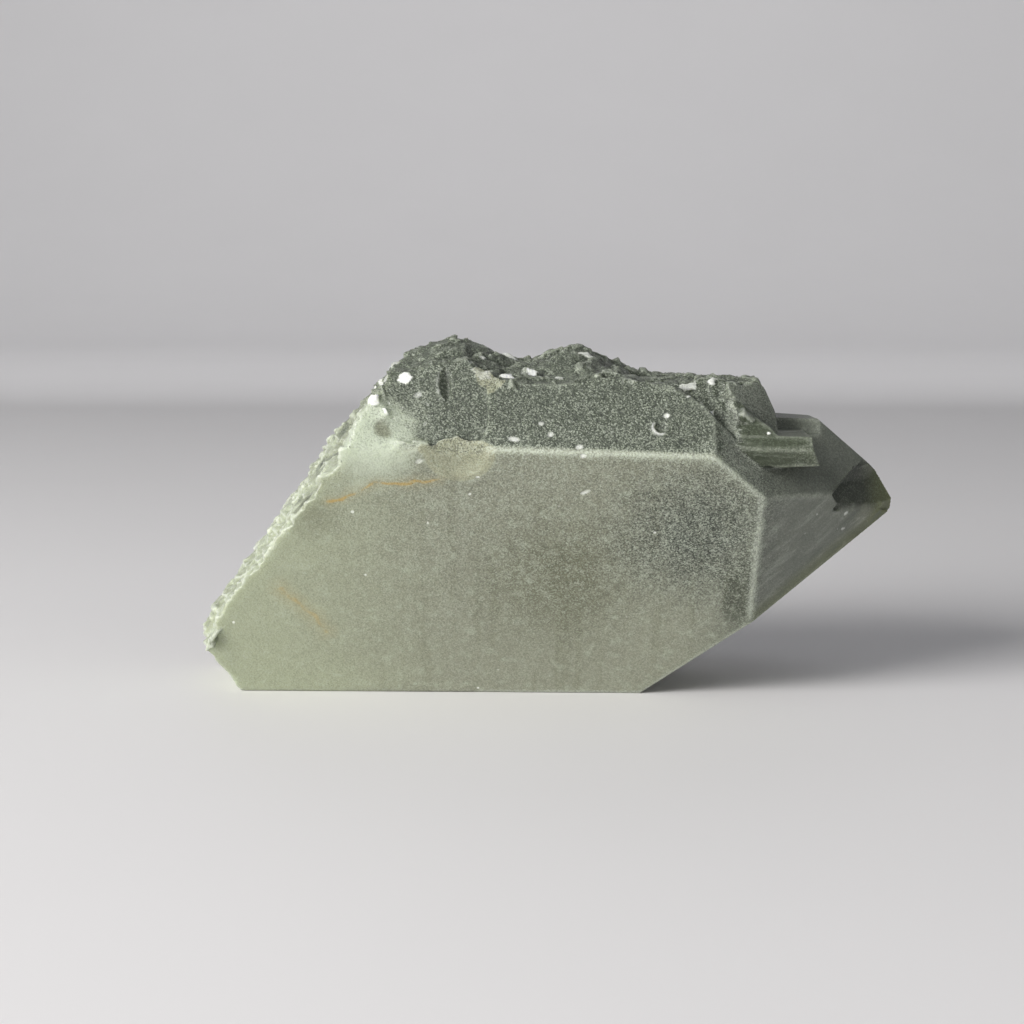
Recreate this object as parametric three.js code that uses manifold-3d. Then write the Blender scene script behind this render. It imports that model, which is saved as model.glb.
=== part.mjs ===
// A broken quartz crystal, green with chlorite, lying on one prism face. Millimetres, +Z up.
// The origin is at the centre of the footprint, on the plane that the crystal rests on.
import * as THREE from "three";
import { mergeVertices } from "three/addons/utils/BufferGeometryUtils.js";
import Module from "manifold-3d";

// ---- Driving dimensions ------------------------------------------------------------------

// Quartz keeps these angles on every crystal. A face's slope is the angle between the
// crystal's long axis and the face's normal; its azimuth is turned round the long axis,
// from the front (0) over the top (90).
const PRISM = 90;
const RHOMB = 51.8;

// How the long axis lies over the base: almost along +X, nose slightly down.
const AXIS_TILT = 1.8;
const AXIS_ROLL = -1.8;

// Every natural face, by its distance from the origin of the layout.
const FACES = [
  { slope: PRISM, azimuth: -30, offset: 3.2 }, // large front face, leaning out over the base
  { slope: PRISM, azimuth: 30, offset: 32.05 }, // narrower face above the front ridge
  { slope: PRISM, azimuth: 90, offset: 41.5 }, // top
  { slope: PRISM, azimuth: 150, offset: 24.0 }, // large back face
  { slope: PRISM, azimuth: 210, offset: 10.4 }, // lower back face
  { slope: RHOMB, azimuth: -30, offset: 16.5 },
  { slope: RHOMB, azimuth: 30, offset: 35.7 },
  { slope: RHOMB, azimuth: 90, offset: 43.9 },
  { slope: RHOMB, azimuth: 150, offset: 32.4 },
  { slope: RHOMB, azimuth: 210, offset: 20.3 },
  { slope: RHOMB, azimuth: 270, offset: 6.5 },
];
const BLOCK = 200; // side of the blocks that planes are cut with

// Places where growth stopped early: inside an outline drawn in side view (x, z), the crystal
// ends at these faces. The outlines reach from the front or the back to the middle plane.
const STOPPED_GROWTH = [
  {
    // The plate above the front ridge ends in a long slanting step.
    side: "front",
    outline: [
      [13.0, 36.4], [15.6, 35.2], [17.4, 33.4], [19.4, 31.6], [21.3, 30.0], [22.2, 33.2],
      [19.9, 35.2], [18.9, 38], [12.8, 38],
    ],
    faces: [{ slope: PRISM, azimuth: 30, offset: 30.05 }],
  },
  {
    // A block at the left end of the same face lies half a millimetre deeper.
    side: "front",
    outline: [
      [-6.5, 36.3], [-6.35, 31.9], [-6.9, 30.6], [-9.5, 31.0], [-12.5, 30.4], [-15.9, 30.6],
      [-17.8, 36.0], [-20, 42], [-6.2, 42],
    ],
    faces: [{ slope: PRISM, azimuth: 30, offset: 31.5 }],
  },
  {
    // A zigzag step just behind the point.
    side: "front",
    outline: [
      [34.4, 26.2], [31.7, 23.75], [32.5, 22.6], [31.7, 21.65], [35.0, 22.1], [36.8, 21.8],
      [44, 19.5], [44, 30], [38, 27],
    ],
    faces: [
      { slope: RHOMB, azimuth: 30, offset: 34.4 },
      { slope: RHOMB, azimuth: -30, offset: 15.9 },
    ],
  },
  {
    // Two overlapping steps on the large back face.
    side: "back",
    outline: [[-4, 6], [3, 11], [1, 17], [9, 24], [6, 33], [12, 42], [40, 42], [40, 6]],
    faces: [{ slope: PRISM, azimuth: 150, offset: 23.1 }],
  },
  {
    side: "back",
    outline: [[12, 10], [17, 18], [14, 26], [21, 42], [44, 42], [44, 10]],
    faces: [{ slope: PRISM, azimuth: 150, offset: 22.2 }],
  },
];

// The nose is a slimmer crystal than the body: it starts at this slanting wall.
const NOSE_START = [[23.2, 37.5], [25.2, 33.1], [25.6, 30.3]];
const NOSE_FACES = [
  { slope: PRISM, azimuth: 90, offset: 32.7 },
  { slope: PRISM, azimuth: 30, offset: 22.1 },
];

// The peg: a shelf that grew on past the body, broken off square at its right end.
const PEG = {
  outline: [
    [15, 27.6], [24.6, 27.4], [29.6, 27.6], [28.8, 29.4], [28.7, 30.8], [25.0, 30.9],
    [24.2, 31.8], [22.0, 33.3], [19.9, 35.2], [18.9, 36.6], [15, 36.4],
  ],
  faces: [
    { slope: PRISM, azimuth: 30, offset: 30.05 },
    { slope: PRISM, azimuth: -30, offset: 0.35 },
  ],
};
const PEG_BACK = -4; // y where the peg ends, inside the body

// Small six-sided crystals half sunk in the large back face, parallel to the big one.
const SATELLITES = [
  { side: 3.3, start: -45, end: 7, y: 15.3, z: 21.5 },
  { side: 2.2, start: -45, end: 14.5, y: 16.6, z: 17.0 },
];

// The left end, snapped off its vein: a rough slope, its brow, and a short undercut beneath.
const BREAK_CELL = 2.2; // size of the facets on broken faces
const BREAKS = [
  { at: [-31.5, -3, 18], normal: [-0.826, -0.07, 0.556], length: 72, relief: 0.7 },
  { at: [-21.0, 0, 33.2], normal: [-0.71, 0.05, 0.7], length: 60, relief: 0.45 },
  { at: [-37.5, -4.4, 2.9], normal: [-0.8, -0.1, -0.59], length: 46, relief: 0.3 },
];

// The weathered top, as heights along the crystal at its front rim, its crest and its back rim.
const TOP_FRONT_Y = -14.5;
const TOP_CREST_Y = -5;
const TOP_BACK_Y = 12;
const TOP_FRONT = [
  [-24, 35.6], [-17, 37.4], [-12, 38.5], [-8.5, 38.6], [-6, 36.9], [1, 36.4], [7, 37.2],
  [13, 36.3], [17, 36.9], [19, 37.0], [20, 36.5], [26, 36.4],
];
const TOP_CREST = [
  [-24, 34.0], [-19, 37.9], [-15.5, 39.9], [-12.2, 40.7], [-8.8, 40.2], [-3, 38.6], [0, 39.0],
  [3.2, 39.9], [6.6, 38.3], [11.6, 36.3], [17, 36.2], [26, 36.3],
];
const TOP_BACK = [
  [-24, 33.5], [-16, 38.2], [-10, 38.0], [-4, 36.4], [4, 37.4], [12, 35.8], [20, 35.4],
  [26, 35.0],
];
const TOP_RELIEF = 0.5;
const TOP_CELL = 2.0;

// Shell-shaped scars of lost flakes: where a ball of this radius bites in.
const FLAKE_SCARS = [
  { at: [-9.6, -31.3, 23.2], radius: 14 }, // on the front ridge
  { at: [-6.6, -17.0, 38.6], radius: 3.2 }, // at the corner of the left block
  { at: [-44.5, 31, 9.5], radius: 21 }, // back of the broken end
  { at: [14.5, 36.2, 12.8], radius: 17.2 }, // on the back ridge
];
const SCAR_DETAIL = 32; // segments round a flake scar's ball

const SHORTEST_EDGE = 0.05; // anything finer than this is smoothed away
const CRYSTAL_COLOUR = 0x8f9683;

// ---- Solids ------------------------------------------------------------------------------

const wasm = await Module();
wasm.setup();

// A closed geometry as a manifold-3d solid.
function solid(geometry) {
  const bare = geometry.clone();
  bare.deleteAttribute("normal");
  bare.deleteAttribute("uv");
  const merged = mergeVertices(bare);
  return new wasm.Manifold(
    new wasm.Mesh({
      numProp: 3,
      vertProperties: new Float32Array(merged.attributes.position.array),
      triVerts: new Uint32Array(merged.index.array),
    }),
  );
}

function geometryOf(manifold) {
  const mesh = manifold.getMesh();
  const geometry = new THREE.BufferGeometry();
  geometry.setAttribute("position", new THREE.BufferAttribute(mesh.vertProperties, 3));
  geometry.setIndex(new THREE.BufferAttribute(mesh.triVerts, 1));
  return geometry;
}

// Turns +Z to a direction and moves the geometry to a point.
function place(geometry, direction, at) {
  const turn = new THREE.Quaternion().setFromUnitVectors(new THREE.Vector3(0, 0, 1), direction);
  return geometry.applyQuaternion(turn).translate(at.x, at.y, at.z);
}

// Everything beyond a plane, as one big block.
function beyond(direction, offset) {
  const block = new THREE.BoxGeometry(BLOCK, BLOCK, BLOCK).translate(0, 0, BLOCK / 2);
  return solid(place(block, direction, direction.clone().multiplyScalar(offset)));
}

// An outline in side view (x, z), from y = near to y = far.
function sideBlock(outline, near, far) {
  const shape = new THREE.Shape(outline.map(([x, z]) => new THREE.Vector2(x, z)));
  const prism = new THREE.ExtrudeGeometry(shape, { depth: far - near, bevelEnabled: false });
  return solid(prism.rotateX(Math.PI / 2).translate(0, far, 0));
}

// ---- Natural faces -----------------------------------------------------------------------

const axisTurn = new THREE.Matrix4()
  .makeRotationY(THREE.MathUtils.degToRad(AXIS_TILT))
  .multiply(new THREE.Matrix4().makeRotationX(THREE.MathUtils.degToRad(AXIS_ROLL)));

function faceNormal({ azimuth, slope }) {
  const round = THREE.MathUtils.degToRad(azimuth);
  const lean = THREE.MathUtils.degToRad(slope);
  const out = Math.sin(lean);
  const normal = new THREE.Vector3(Math.cos(lean), -out * Math.cos(round), out * Math.sin(round));
  return normal.applyMatrix4(axisTurn);
}

const beyondFace = (face) => beyond(faceNormal(face), face.offset);

// The crystal as it would be with every face complete.
function facetedCrystal() {
  const ground = beyond(new THREE.Vector3(0, 0, -1), 0);
  const blank = solid(new THREE.BoxGeometry(BLOCK, BLOCK, BLOCK)).subtract(ground);
  return FACES.reduce((crystal, face) => crystal.subtract(beyondFace(face)), blank);
}

function stoppedGrowth({ side, outline, faces }) {
  const [near, far] = side === "front" ? [-BLOCK / 4, 0] : [0, BLOCK / 4];
  const block = sideBlock(outline, near, far);
  return faces.map((face) => block.intersect(beyondFace(face)));
}

function aroundNose() {
  const past = [[BLOCK / 4, NOSE_START.at(-1)[1]], [BLOCK / 4, BLOCK / 4], [20, BLOCK / 4]];
  const block = sideBlock([...NOSE_START, ...past], -BLOCK / 4, BLOCK / 4);
  return NOSE_FACES.map((face) => block.intersect(beyondFace(face)));
}

function peg() {
  const block = sideBlock(PEG.outline, -BLOCK / 4, PEG_BACK);
  return PEG.faces.reduce((rest, face) => rest.subtract(beyondFace(face)), block);
}

// A six-sided crystal with a six-sided point, its faces parallel to the big crystal's.
function satellite({ side, start, end, y, z }) {
  const point = side * Math.cos(Math.PI / 6) * Math.tan(THREE.MathUtils.degToRad(RHOMB));
  const profile = [
    new THREE.Vector2(0, start),
    new THREE.Vector2(side, start),
    new THREE.Vector2(side, end - point),
    new THREE.Vector2(0, end),
  ];
  const crystal = new THREE.LatheGeometry(profile, 6).rotateZ(-Math.PI / 2).rotateX(Math.PI / 6);
  return solid(crystal.applyMatrix4(axisTurn).translate(0, y, z));
}

// ---- Broken and weathered surfaces -------------------------------------------------------

// A repeatable number from 0 to 1 for a lattice point.
function lattice(i, j) {
  const wave = Math.sin(i * 127.1 + j * 311.7) * 43758.5453;
  return wave - Math.floor(wave);
}

// Smooth value noise from -1 to 1.
function noise(u, v) {
  const i = Math.floor(u);
  const j = Math.floor(v);
  const s = THREE.MathUtils.smoothstep(u - i, 0, 1);
  const t = THREE.MathUtils.smoothstep(v - j, 0, 1);
  const near = THREE.MathUtils.lerp(lattice(i, j), lattice(i + 1, j), s);
  const far = THREE.MathUtils.lerp(lattice(i, j + 1), lattice(i + 1, j + 1), s);
  return 2 * THREE.MathUtils.lerp(near, far, t) - 1;
}

// Two sizes of lumps, 7 and 3 mm across.
const lumps = (u, v) => noise(u / 7, v / 7) + 0.55 * noise(u / 3 + 9, v / 3 + 4);

// A thick slab whose underside follows height(x, y), to take away from the crystal.
function roughSlab(width, depth, cell, height) {
  const thickness = 80;
  const slab = new THREE.BoxGeometry(
    width,
    depth,
    thickness,
    Math.round(width / cell),
    Math.round(depth / cell),
  );
  slab.translate(0, 0, thickness / 2);
  const position = slab.attributes.position;
  for (let i = 0; i < position.count; i += 1) {
    if (position.getZ(i) < thickness / 2) {
      position.setZ(i, height(position.getX(i), position.getY(i)));
    }
  }
  return slab;
}

function brokenAway({ at, normal, length, relief }) {
  const slab = roughSlab(length, length, BREAK_CELL, (u, v) => relief * lumps(u, v));
  return solid(place(slab, new THREE.Vector3(...normal).normalize(), new THREE.Vector3(...at)));
}

// Height along a profile of [x, z] points.
function along(profile, x) {
  const next = profile.findIndex(([px]) => px > x);
  if (next === 0) return profile[0][1];
  if (next === -1) return profile.at(-1)[1];
  const [[x0, z0], [x1, z1]] = [profile[next - 1], profile[next]];
  return THREE.MathUtils.lerp(z0, z1, (x - x0) / (x1 - x0));
}

function topHeight(x, y) {
  const rise = THREE.MathUtils.smoothstep(y, TOP_FRONT_Y, TOP_CREST_Y);
  const fall = THREE.MathUtils.smoothstep(y, TOP_CREST_Y, TOP_BACK_Y);
  const front = THREE.MathUtils.lerp(along(TOP_FRONT, x), along(TOP_CREST, x), rise);
  const height = THREE.MathUtils.lerp(front, along(TOP_BACK, x), fall);
  return height + TOP_RELIEF * rise * lumps(x * 1.3 + 5, y);
}

function weatheredAway() {
  const middle = { x: 8, y: 1 };
  const height = (x, y) => topHeight(x + middle.x, y + middle.y);
  return solid(roughSlab(66, 44, TOP_CELL, height).translate(middle.x, middle.y, 0));
}

function flakeScar({ at, radius }) {
  const ball = new THREE.SphereGeometry(radius, SCAR_DETAIL, SCAR_DETAIL / 2);
  return solid(ball.translate(...at));
}

// ---- Assembly ----------------------------------------------------------------------------

function crystalSolid() {
  const taken = (crystal, lost) => crystal.subtract(lost);
  const grown = (crystal, extra) => crystal.add(extra);
  let crystal = STOPPED_GROWTH.flatMap(stoppedGrowth).reduce(taken, facetedCrystal());
  crystal = crystal.subtract(weatheredAway());
  crystal = aroundNose().reduce(taken, crystal);
  crystal = [peg(), ...SATELLITES.map(satellite)].reduce(grown, crystal);
  crystal = FLAKE_SCARS.map(flakeScar).reduce(taken, crystal);
  crystal = BREAKS.map(brokenAway).reduce(taken, crystal);
  const [body] = crystal.decompose().sort((a, b) => b.volume() - a.volume());
  return body.simplify(SHORTEST_EDGE);
}

// Puts the origin at the centre of the footprint.
function centred(geometry) {
  geometry.computeBoundingBox();
  const centre = geometry.boundingBox.getCenter(new THREE.Vector3());
  return geometry.translate(-centre.x, -centre.y, -geometry.boundingBox.min.z);
}

const crystal = new THREE.Mesh(
  centred(geometryOf(crystalSolid())),
  new THREE.MeshStandardMaterial({
    color: CRYSTAL_COLOUR,
    roughness: 0.6,
    metalness: 0,
    flatShading: true,
  }),
);
crystal.name = "crystal";

const specimen = new THREE.Group();
specimen.add(crystal);

export default specimen;
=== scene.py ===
"""A broken chlorite quartz crystal, lying on one prism face on a pale studio floor.

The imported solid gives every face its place. The crystal piece is a fine copy of it, with a
scaly break, weathered ground, worn edges, chips and a procedural quartz finish.
"""

import math
from functools import reduce

import bpy
import numpy as np
from bpy.props import FloatProperty, FloatVectorProperty, PointerProperty
from mathutils import Matrix, Vector
from mathutils.bvhtree import BVHTree
from mathutils.kdtree import KDTree


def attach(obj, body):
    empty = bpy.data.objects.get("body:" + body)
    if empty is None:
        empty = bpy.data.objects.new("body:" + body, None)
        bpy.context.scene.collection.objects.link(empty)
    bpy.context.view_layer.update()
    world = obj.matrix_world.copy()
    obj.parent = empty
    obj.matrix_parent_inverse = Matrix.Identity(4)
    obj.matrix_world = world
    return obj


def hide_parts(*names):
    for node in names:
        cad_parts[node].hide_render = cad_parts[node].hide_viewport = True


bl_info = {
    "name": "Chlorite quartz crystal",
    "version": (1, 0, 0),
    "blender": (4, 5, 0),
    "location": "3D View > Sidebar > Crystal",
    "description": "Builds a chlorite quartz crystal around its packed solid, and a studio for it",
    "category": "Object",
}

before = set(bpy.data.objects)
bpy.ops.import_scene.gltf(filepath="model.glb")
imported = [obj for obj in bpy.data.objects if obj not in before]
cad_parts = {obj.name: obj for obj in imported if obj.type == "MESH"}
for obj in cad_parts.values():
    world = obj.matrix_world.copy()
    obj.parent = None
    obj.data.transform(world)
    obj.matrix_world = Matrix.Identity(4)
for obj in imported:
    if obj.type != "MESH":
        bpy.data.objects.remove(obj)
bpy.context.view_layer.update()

MM = 0.001
TINY = 1e-12
EASE = 0.6  # how far a point moves towards the mean of its neighbours in one pass
NODE = "crystal"
PIECE = "chlorite_quartz_crystal"


# ---- Sums over rows -----------------------------------------------------------------------


def rows(items, name, width, kind=float):
    """One value of a mesh's vertices, loops or polygons, as rows of numbers."""
    values = np.empty(len(items) * width, kind)
    items.foreach_get(name, values)
    return values.reshape(-1, width)


def dots(first, second):
    return np.einsum("ij,ij->i", first, second)


def lengths(vectors):
    return np.linalg.norm(vectors, axis=1)


def along(amounts, way):
    """A vector for each amount: the way that it points, or each row's own way."""
    return amounts[:, None] * way


def gathered(owners, values, count):
    """Sums the rows of values that belong to the same owner."""
    return np.stack([np.bincount(owners, column, count) for column in values.T], axis=1)


def unit(vectors):
    return vectors / np.maximum(lengths(vectors), TINY)[:, None]


def finder(points):
    """A tree that finds the nearest of some points."""
    tree = KDTree(len(points))
    for number, point in enumerate(points):
        tree.insert(point, number)
    tree.balance()
    return tree


def smooth_step(low, high, value):
    """0 at low, 1 at high and a soft step between; low may be the larger."""
    t = np.clip((value - low) / (high - low), 0.0, 1.0)
    return t * t * (3 - 2 * t)


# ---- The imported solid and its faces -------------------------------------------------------

GROWN_AREA = 3.0  # square millimetres: a flat patch larger than this is a grown face
TIP_START = 26.0  # right of this there is no weathered ground
SAME_FACE_TURN = 0.9998
SAME_FACE_GAP = 0.03
SLIVER_HEIGHT = 0.1  # triangles thinner than this don't show which way their face looks
SLIVER_TURN = 0.9
SHARP_TURN = math.cos(math.radians(18))
ALIKE = 0.99  # two directions this close count as the same


def solid_arrays(node):
    """Corners in millimetres, merged where triangles meet, and triangles of a node."""
    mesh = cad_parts[node].data
    mesh.calc_loop_triangles()
    triangles = rows(mesh.loop_triangles, "vertices", 3, int)
    corners = rows(mesh.vertices, "co", 3) / MM
    _, first, merged = np.unique(
        np.round(corners, 3), axis=0, return_index=True, return_inverse=True
    )
    return corners[first], merged.reshape(-1)[triangles]


class Face:
    """A flat face: its outward normal, its distance from the origin and its triangles."""

    def __init__(self, normal, offset):
        self.normal = normal
        self.offset = offset
        self.area = 0.0
        self.members = []

    def depth(self, points):
        """How deep points lie under the face's plane."""
        return self.offset - points @ self.normal

    def at(self, x, z):
        """The point of the face's plane over a place given across and up."""
        rest = self.offset - self.normal[0] * x - self.normal[2] * z
        return np.array((x, rest / self.normal[1], z))


def flat_faces(corners, triangles):
    """Gathers coplanar triangles, largest first."""
    a, b, c = (corners[triangles[:, i]] for i in range(3))
    cross = np.cross(b - a, c - a)
    size = lengths(cross)
    normals = unit(cross)
    offsets = dots(normals, a)
    sides = [lengths(side) for side in (a - b, b - c, c - a)]
    sliver = size / np.max(sides, axis=0) < SLIVER_HEIGHT
    faces = []
    for i in np.argsort(-size):
        for face in faces:
            turn = face.normal @ normals[i]
            if turn > SAME_FACE_TURN and abs(face.offset - offsets[i]) < SAME_FACE_GAP:
                break
            gaps = np.abs(corners[triangles[i]] @ face.normal - face.offset)
            if sliver[i] and turn > SLIVER_TURN and gaps.max() < SAME_FACE_GAP:
                break
        else:
            face = Face(normals[i], offsets[i])
            faces.append(face)
        face.area += size[i] / 2
        face.members.append(i)
    return faces, normals


CORNERS, TRIANGLES = solid_arrays(NODE)
FACES, TRIANGLE_NORMALS = flat_faces(CORNERS, TRIANGLES)
SOLID_TREE = BVHTree.FromPolygons(CORNERS.tolist(), TRIANGLES.tolist())
IN_FRONT = 60.0  # a distance in front of the whole solid


def face_towards(x, y, z):
    """The largest grown face that looks in about this direction."""
    wanted = np.array((x, y, z)) / np.linalg.norm((x, y, z))
    alike = [face for face in FACES if face.normal @ wanted > ALIKE]
    return max(alike, key=lambda face: face.area)


FRONT = face_towards(-0.01, -0.88, -0.47)
FRONT_UPPER = face_towards(0.02, -0.85, 0.53)
TIP_FRONT = face_towards(0.61, -0.69, -0.39)
TIP_UPPER = face_towards(0.63, -0.67, 0.39)
UNDERSIDE = face_towards(0.59, -0.03, -0.81)
TIP_TOP = face_towards(0.64, 0.02, 0.77)

BREAK_OUT = np.array((-0.826, -0.07, 0.556))  # which way the broken end looks
BREAK_LIMIT = -12.0  # the broken end lies left of this
GROUND_OUT = np.array((0.0, -0.1, 0.995))  # which way the weathered top looks


# ---- Numbers that vary over the surface ---------------------------------------------------


HASH_STEPS = np.array((73856093, 19349663, 83492791))


def hashed(cells, seed):
    """Repeatable random numbers from 0 to 1, one for each whole-number cell."""
    n = np.bitwise_xor.reduce(cells * HASH_STEPS, axis=-1)
    n = (n ^ seed * 912931) * 1274126177 & 0xFFFFFFFF
    n = (n ^ n >> 15) * 2246822519 & 0xFFFFFFFF
    return (n ^ n >> 13) % 65536 / 65535.0


def swell(points, size, seed):
    """Smooth noise from -1 to 1 whose swells are a size in millimetres apart."""
    scaled = points / size
    cell = np.floor(scaled).astype(np.int64)
    t = scaled - cell
    t = t * t * (3 - 2 * t)
    total = np.zeros(len(points))
    for corner in np.ndindex(2, 2, 2):
        weight = np.prod(np.where(corner, t, 1 - t), axis=1)
        total += weight * hashed(cell + np.array(corner), seed)
    return total * 2 - 1


class Scatter:
    """For each point: the nearest of scattered centres, and that centre's random numbers."""

    def __init__(self, points, size, seed):
        scaled = points / size
        base = np.floor(scaled).astype(np.int64)
        nearest = np.full(len(points), np.inf)
        home = np.zeros_like(base)
        centre = np.zeros_like(scaled)
        for shift in np.ndindex(3, 3, 3):
            cell = base + np.array(shift) - 1
            spot = cell + np.stack([hashed(cell, seed + k) for k in range(3)], axis=1)
            distance = lengths(spot - scaled)
            closer = distance < nearest
            nearest = np.where(closer, distance, nearest)
            home[closer] = cell[closer]
            centre[closer] = spot[closer]
        self.home = home
        self.seed = seed
        self.offset = (scaled - centre) * size

    def random(self, number):
        return hashed(self.home, self.seed + 10 + number)

    def plates(self, slope, step):
        """Heights of tilted flat plates, one on each centre."""
        tilt = np.stack([self.random(k) for k in range(3)], axis=1) * 2 - 1
        height = dots(tilt, self.offset) * slope
        return height + (self.random(3) * 2 - 1) * step


# ---- Working mesh -------------------------------------------------------------------------


def merged_copy(name, points, faces, size):
    """Melts closed, overlapping meshes into one skin of even quads, in millimetres."""
    holder = placed(name, new_mesh(name, points.tolist(), faces))
    remesh = holder.modifiers.new("skin", "REMESH")
    remesh.mode = "VOXEL"
    remesh.voxel_size = size
    skin = evaluated(holder)
    points, quads = rows(skin.vertices, "co", 3), rows(skin.polygons, "vertices", 4, int)
    bpy.data.meshes.remove(skin)
    return points, quads


def new_mesh(name, points, faces):
    mesh = bpy.data.meshes.new(name)
    mesh.from_pydata(points, [], faces)
    return mesh


def placed(name, data):
    """A new object in the scene."""
    item = bpy.data.objects.new(name, data)
    bpy.context.scene.collection.objects.link(item)
    return item


def evaluated(holder):
    """The mesh that an object's modifiers make; the object goes."""
    graph = bpy.context.evaluated_depsgraph_get()
    made = bpy.data.meshes.new_from_object(holder.evaluated_get(graph))
    bpy.data.meshes.remove(holder.data)
    return made


class Skin:
    """The working surface in millimetres: points, quads and what is known of each point."""

    def __init__(self, points, quads):
        self.points = points
        self.quads = quads
        ends = [quads[:, [i, (i + 1) % 4]] for i in range(4)]
        edges = np.unique(np.sort(np.concatenate(ends), axis=1), axis=0)
        self.a, self.b = edges[:, 0], edges[:, 1]
        self.degree = np.bincount(edges.reshape(-1), minlength=len(points))[:, None]

    def relaxed(self, values, times):
        """Eases each point's values towards the mean of its neighbours'."""
        for _ in range(times):
            total = gathered(self.a, values[self.b], len(values))
            total += gathered(self.b, values[self.a], len(values))
            values = values + (total / self.degree - values) * EASE
        return values

    def smooth(self, weight, times):
        """Relaxes the points, each by its own weight."""
        moving = weight > 0
        beside = moving[self.a] | moving[self.b]
        a, b = self.a[beside], self.b[beside]
        used, ends = np.unique(np.concatenate((a, b)), return_inverse=True)
        a, b = ends[: len(a)], ends[len(a) :]
        points, count = self.points[used], len(used)
        share = weight[used, None] * EASE
        for _ in range(times):
            total = gathered(a, points[b], count) + gathered(b, points[a], count)
            points += (total / self.degree[used] - points) * share
        self.points[used] = points

    def normals(self):
        a, b, c, d = (self.points[self.quads[:, i]] for i in range(4))
        cross = np.cross(c - a, d - b)
        total = np.zeros_like(self.points)
        for corner in self.quads.T:
            total += gathered(corner, cross, len(total))
        return unit(total)

    def away_from(self, centre):
        """Each point's way from a centre, and its length."""
        away = self.points - np.array(centre)
        return away, lengths(away)

    def shift(self, amounts, way):
        self.points = self.points + along(amounts, way)


# ---- Chips and scales ---------------------------------------------------------------------


SIDES = 5
CORNER_WANDER = 0.45
CORNER_REACH = (0.6, 1.15)
CHIP_TOP, CHIP_FOOT, CHIP_ROOT = 0.75, 1.1, 2  # how wide its top and foot are, and its depth
CHIP_THICKNESS = (0.15, 0.33)
CHIP_TILT = 0.3


class Chip:
    """A flat splinter of quartz, half sunk in the surface: an uneven prism."""

    def __init__(self, centre, out, seed, size, thick, tone, stretch, turn):
        self.centre = np.array(centre, float)
        self.out = np.array(out, float) / np.linalg.norm(out)
        self.random = np.random.default_rng(seed)
        self.size, self.thick, self.tone = size, thick, tone
        self.stretch, self.turn = stretch, turn

    def solid(self):
        across = np.cross(self.out, (0.13, 0.31, 0.94))
        across /= np.linalg.norm(across)
        up = np.cross(self.out, across)
        angles = np.sort(self.random.uniform(-CORNER_WANDER, CORNER_WANDER, SIDES))
        angles += np.arange(SIDES) * math.tau / SIDES
        reach = self.size * self.random.uniform(*CORNER_REACH, SIDES)
        u, v = np.cos(angles) * reach * self.stretch, np.sin(angles) * reach
        turned_u = u * math.cos(self.turn) - v * math.sin(self.turn)
        turned_v = u * math.sin(self.turn) + v * math.cos(self.turn)
        ring = along(turned_u, across) + along(turned_v, up)
        lift = self.random.uniform(-CHIP_TILT, CHIP_TILT, SIDES)[:, None] * self.thick
        top = self.centre + ring * CHIP_TOP + self.out * (self.thick * 0.5 + lift)
        foot = self.centre + ring * CHIP_FOOT - self.out * self.thick * CHIP_ROOT
        faces = [tuple(range(SIDES))[::-1], tuple(range(SIDES, 2 * SIDES))]
        for i in range(SIDES):
            after = (i + 1) % SIDES
            faces.append((i, after, SIDES + after, SIDES + i))
        return np.concatenate((foot, top)), faces


# Chips that catch the eye: place across and up, half size, thickness, tone, stretch and turn.
NAMED_CHIPS = (
    (-14.6, 37.0, 1.25, 0.4, 1.0, 1.2, 0.9),
    (-17.9, 34.7, 1.2, 0.45, 0.95, 0.6, 0.9),
    (-17.0, 36.4, 1.1, 0.4, 0.55, 1.5, 0.6),
    (-3.6, 37.0, 0.85, 0.9, 0.95, 1.2, 0.0),
    (-1.0, 37.1, 1.15, 0.8, 1.0, 1.5, 0.1),
    (-3.4, 38.6, 0.7, 0.35, 0.55, 2.0, -0.5),
    (-6.6, 38.9, 0.75, 0.35, 0.6, 1.6, 0.3),
    (2.2, 36.8, 0.45, 0.25, 0.45, 2.4, 0.1),
    (5.0, 39.2, 0.8, 0.35, 0.5, 1.8, 0.2),
    (24.7, 31.2, 0.42, 0.35, 0.9, 1.0, 0.5),
    (17.4, 34.2, 0.42, 0.3, 0.6, 1.7, 0.8),
    (18.6, 33.2, 0.4, 0.3, 0.75, 1.5, 0.6),
    (16.1, 35.2, 0.35, 0.3, 0.5, 1.8, 0.7),
    (21.6, 31.4, 0.3, 0.25, 0.4, 1.3, 0.2),
    (16.0, 36.1, 0.75, 0.3, 0.5, 2.2, 0.2),
    (18.9, 36.4, 0.6, 0.3, 0.6, 1.6, -0.6),
    (-13.1, 35.4, 0.28, 0.2, 0.8, 1.3, 0.3),
    (-6.2, 37.2, 1.15, 0.3, 0.35, 1.1, 0.2),
    (-16.5, 33.5, 0.34, 0.3, 0.75, 3.2, -0.8),
    (-17.8, 35.7, 0.6, 0.4, 0.6, 1.8, 0.7),
    (-15.9, 38.2, 0.55, 0.35, 0.45, 1.9, 0.5),
)
SPREAD_COUNT = 150
NAMED_SEED = 700
# Seed, tilt, smallest and largest size, stretch, and least and most tone of the spread chips.
GROUND_CHIPS = (1400, 0.3, (0.3, 1.4), 1.9, (0.0, 0.25))
BREAK_SCALES = (2100, 0.12, (0.4, 1.5), 1.8, (0.0, 0.6))
# What leans this much towards the broken end, to the left or up is part of the end or the top.
BREAK_LEAN = 0.45
LEFT_LEAN = 0.55
TOP_LEAN = 0.3
TOP_FOOT = 22.0


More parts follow.
